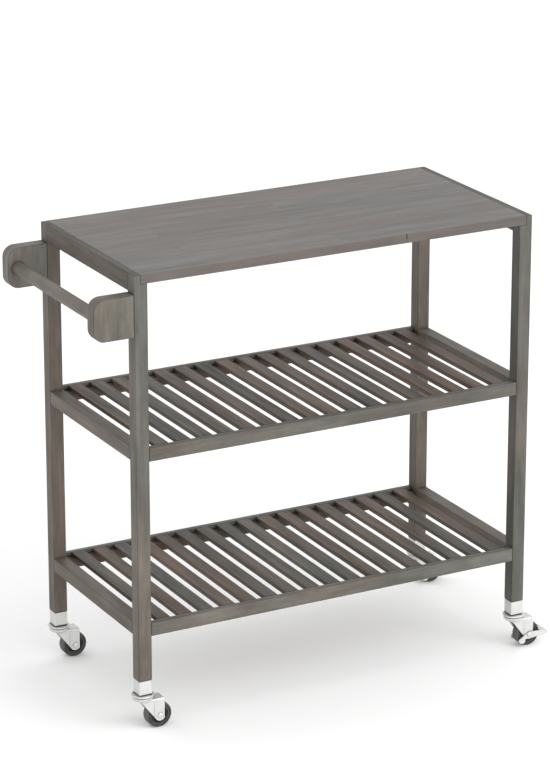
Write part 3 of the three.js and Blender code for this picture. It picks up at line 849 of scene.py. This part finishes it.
def tyre():
    """The tyre, with a round bead, a groove, a raised band on each wall, and round shoulders."""
    radius, half, shoulder, groove, lip = WHEEL_RADIUS, TYRE_HALF, TYRE_SHOULDER, 2 * MM, 0.4 * MM
    side = [(TYRE_INNER, half - groove), (TYRE_INNER + MM, half - lip), (TYRE_INNER + MM + lip, half),
            (TYRE_BEAD - lip, half), (TYRE_BEAD, half - lip), (TYRE_BEAD + lip, half - groove),
            (TYRE_BAND - lip, half - groove), (TYRE_BAND, half - lip), (TYRE_BAND + lip, half),
            (radius - shoulder, half)]
    side += [(radius - shoulder + r, h) for r, h in arc(0, half - shoulder, shoulder, 75, 15, 4)]
    side.append((radius, half - shoulder - lip))

    # Painted highlight on the crest of each bead; on the tread and outer shoulder, painted highlight with
    # dusty wear.
    def amount(from_axle, from_middle):
        if from_axle < TYRE_BEAD and from_middle > half - lip:
            return 0.5
        return 0.4 if from_axle > radius - MM else 0

    return mark_highlights_and_wear(wheel_part(side, 96), amount)


def hub():
    """The hub: a boss round the axle, a web and a rim."""
    half, boss, web, inner, outer = HUB_HALF, HUB_BOSS, HUB_WEB_HALF, HUB_RIM_INNER, HUB_RIM_OUTER
    side = [(AXLE_RADIUS + RUNNING_GAP, half), (boss - 0.5 * MM, half), (boss, half - 0.5 * MM),
            (boss + 0.6 * MM, web + 0.6 * MM), (boss + 1.4 * MM, web), (inner - MM, web), (inner, web + MM),
            (inner + 0.3 * MM, HUB_RIM_HALF - 0.4 * MM), (inner + 0.7 * MM, HUB_RIM_HALF),
            (outer - 0.4 * MM, HUB_RIM_HALF), (outer, HUB_RIM_HALF - 0.4 * MM)]

    # Painted highlight on the outer faces of the rim.
    def amount(from_axle, from_middle):
        return 0.8 if from_axle > inner and from_middle > HUB_RIM_HALF - 0.5 * MM else 0

    return mark_highlights_and_wear(wheel_part(side, 72), amount)


def strap(near, far, low, high):
    """A flat strap round two circles of different size."""
    (x1, z1, r1), (x2, z2, r2) = [(x * MM, z * MM, r * MM) for x, z, r in (near, far)]
    heading = math.degrees(math.atan2(z2 - z1, x2 - x1))
    spread = math.degrees(math.acos((r1 - r2) / math.hypot(x2 - x1, z2 - z1)))
    outline = [*arc(TRAIL + x1, AXLE_Z + z1, r1, heading + spread, heading - spread + 360, 16),
               *arc(TRAIL + x2, AXLE_Z + z2, r2, heading - spread, heading + spread, 10)]
    return prism(outline, "Y", low, high)


def pedal():
    """The brake pedal: an arm on each side of the fork, joined by a pad behind the wheel."""
    inner, outer = FORK_HALF + GAP, FORK_HALF + GAP + PLATE
    arms = [strap(near, far, low, high) for low, high in ((-outer, -inner), (inner, outer))
            for near, far in PEDAL_STRAPS]
    (x0, z0), (x1, z1) = [(TRAIL + x * MM, AXLE_Z + z * MM) for x, z in PEDAL_PAD]
    pad = block((x0, -outer, z0), (x1, outer, z1))
    body = boolean(arms[0], [*arms[1:], pad], "UNION")
    return soften(boolean(body, [axle_bore()], "DIFFERENCE"), 0.4 * MM, 2, 30)


# Each piece of a caster: its slot, body and CAD nodes, where {} stands for the corner.
CASTER_PIECES = {
    "ferrule": ("plated_steel", "cart_frame", ["caster_ferrule_{}"]),
    # A dark pad of painted shadow under each ferrule.
    "shadow_pad": ("hub_plastic", "cart_frame", []),
    "stem": ("plated_steel", "cart_frame", ["caster_stem_{}"]),
    "balls": ("fastener_steel", "caster_{}", ["caster_thrust_ring_{}"]),
    "fork": ("plated_steel", "caster_{}", ["caster_fork_{}"]),
    "axle": ("plated_steel", "caster_{}", ["wheel_axle_{}"]),
    "hub": ("hub_plastic", "wheel_{}", ["wheel_hub_{}"]),
    "tyre": ("tyre_rubber", "wheel_{}", ["wheel_tyre_{}"]),
    "pedal": ("plated_steel", "pedal_{}", ["brake_pedal_{}"]),
}


def add_casters():
    shapes = {"ferrule": ferrule(), "shadow_pad": shadow_pad(), "stem": stem(), "balls": ball_ring(),
              "fork": fork(), "hub": hub(), "tyre": tyre(), "pedal": pedal()}
    shared = {part: finish_mesh(part, bm, CASTER_PIECES[part][0]) for part, bm in shapes.items()}
    axles = {}
    for side in SIDES:  # the axles of the right end are longer, because they carry the pedals too
        axles[side] = finish_mesh(f"axle_{side}", rivet_axle(f"wheel_axle_front_{side}"), "plated_steel")
    for end, side in CORNERS:
        corner = f"{end}_{side}"
        low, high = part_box(f"caster_ferrule_{corner}")
        foot = ((low.x + high.x) / 2, (low.y + high.y) / 2, 0)
        for part, (slot, body, nodes) in CASTER_PIECES.items():
            if part == "pedal" and side == "left":
                continue
            mesh = axles[side] if part == "axle" else shared[part]
            nodes = [node.format(corner) for node in nodes]
            place(f"{part}_{corner}", mesh, slot, body.format(corner), nodes, foot)


add_camera()
add_studio()
add_tabletop()
add_end_frames()
for shelf_name in ("middle", "lower"):
    add_shelf(shelf_name)
add_handle()
add_fasteners()
add_casters()
